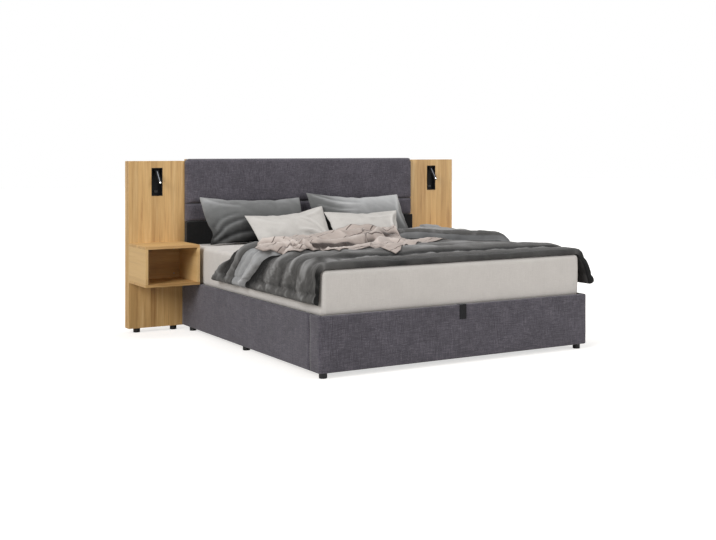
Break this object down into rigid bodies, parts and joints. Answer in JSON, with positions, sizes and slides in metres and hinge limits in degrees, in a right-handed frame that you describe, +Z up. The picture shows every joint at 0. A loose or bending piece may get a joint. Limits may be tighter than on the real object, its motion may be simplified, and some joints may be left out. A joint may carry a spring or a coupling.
{
  "type": "upholstered bed with nightstands",
  "caption": "Upholstered storage bed with a padded headboard between oak wall panels, hung oak nightstands, folding reading lamps and a slatted platform that lifts on gas struts.",
  "frame": {"origin": "centre of the footprint, on the floor", "axes": "+X across the bed towards its right side as seen from the foot end, -Y towards the foot end, +Z up"},
  "size_m": [2.598, 2.158, 1.171],
  "materials": {
    "board": "plain chipboard",
    "upholstery": "grey woven upholstery",
    "dark_upholstery": "charcoal woven upholstery",
    "floor_board": "white melamine",
    "steel": "dark powder coat",
    "fixings": "zinc plated",
    "black_rubber": "matte",
    "black_plastic": "matte",
    "oak": "oiled oak, straight grain",
    "lamp_metal": "matte black",
    "lamp_lens": "lit diffuser",
    "strut_black": "black",
    "strut_rod": "polished",
    "slat_wood": "bent birch",
    "webbing": "black webbing",
    "mattress_cover": "white fitted sheet",
    "duvet_cloth": "washed grey cotton",
    "throw_cloth": "taupe with thin darker stripes",
    "grey_pillow_cloth": "grey cotton",
    "white_pillow_cloth": "off-white cotton"
  },
  "bodies": {
    "bed_frame": {"left_side_rail": "board", "right_side_rail": "board", "foot_rail": "board", "head_rail": "board", "left_rail_cover": "upholstery", "right_rail_cover": "upholstery", "foot_rail_cover": "upholstery", "storage_floor": "floor_board", "floor_battens": "board", "corner_brackets": "steel", "frame_bolts": "fixings", "platform_rests": "black_rubber", "bed_feet": "black_plastic", "headboard_frame": "board", "headboard_cushion_top": "upholstery", "headboard_cushion_middle": "upholstery", "headboard_lower_panel": "dark_upholstery", "headboard_brackets": "steel", "left_wall_panel": "oak", "right_wall_panel": "oak", "left_panel_back": "board", "right_panel_back": "board", "panel_feet": "black_plastic", "panel_brackets": "steel", "left_nightstand_top": "oak", "left_nightstand_base": "oak", "left_nightstand_outer_side": "oak", "left_nightstand_inner_side": "oak", "left_nightstand_back": "oak", "right_nightstand_top": "oak", "right_nightstand_base": "oak", "right_nightstand_outer_side": "oak", "right_nightstand_inner_side": "oak", "right_nightstand_back": "oak", "nightstand_screws": "fixings", "left_lamp_housing": "lamp_metal", "right_lamp_housing": "lamp_metal", "left_usb_socket": "black_plastic", "right_usb_socket": "black_plastic", "lift_base_plates": "steel"},
    "lift_arms": {"lift_arms": "steel"},
    "idler_links": {"idler_links": "steel"},
    "gas_cylinders": {"gas_cylinders": "strut_black"},
    "gas_rods": {"gas_rods": "strut_rod"},
    "platform": {"platform_frame": "steel", "slats": "slat_wood", "slat_holders": "black_plastic", "lift_upper_brackets": "steel", "pull_strap": "webbing", "mattress": "mattress_cover", "duvet": "duvet_cloth", "throw_blanket": "throw_cloth", "left_grey_pillow": "grey_pillow_cloth", "right_grey_pillow": "grey_pillow_cloth", "left_white_pillow": "white_pillow_cloth", "right_white_pillow": "white_pillow_cloth"},
    "left_lamp": {"left_lamp_arm": "lamp_metal", "left_lamp_lens": "lamp_lens"},
    "right_lamp": {"right_lamp_arm": "lamp_metal", "right_lamp_lens": "lamp_lens"}
  },
  "joints": [
    {"name": "platform_lift", "type": "hinge", "parent": "lift_arms", "child": "platform", "pos_m": [0, 0.574, 0.262], "axis": [-1, 0, 0], "range_deg": [0, 120]},
    {"name": "lift_arm_swing", "type": "hinge", "parent": "bed_frame", "child": "lift_arms", "pos_m": [0, 0.36102, 0.11287], "axis": [1, 0, 0], "range_deg": [0, 90]},
    {"name": "idler_swing", "type": "hinge", "parent": "bed_frame", "child": "idler_links", "pos_m": [0, 0.28914, 0.13348], "axis": [1, 0, 0], "range_deg": [0, 90]},
    {"name": "gas_cylinder_swing", "type": "hinge", "parent": "bed_frame", "child": "gas_cylinders", "pos_m": [0, 0.571, 0.0766], "axis": [1, 0, 0], "range_deg": [0, 81.7]},
    {"name": "gas_rod_slide", "type": "slide", "parent": "gas_cylinders", "child": "gas_rods", "axis": [0, 0.5149, 0.8573], "range_m": [0, 0.0897]},
    {"name": "left_lamp_swing", "type": "hinge", "parent": "bed_frame", "child": "left_lamp", "pos_m": [-1.104, 1.007, 1.093], "axis": [-1, 0, 0], "range_deg": [-40, 55]},
    {"name": "right_lamp_swing", "type": "hinge", "parent": "bed_frame", "child": "right_lamp", "pos_m": [1.104, 1.007, 1.093], "axis": [-1, 0, 0], "range_deg": [-40, 55]}
  ],
  "couplings": [
    {"joint": "lift_arm_swing", "follows": "platform_lift", "ratio": 0.75},
    {"joint": "idler_swing", "follows": "platform_lift", "ratio": 0.75},
    {"joint": "gas_cylinder_swing", "follows": "platform_lift", "ratio": 0.6808},
    {"joint": "gas_rod_slide", "follows": "platform_lift", "m_per_rad": 0.0428}
  ]
}
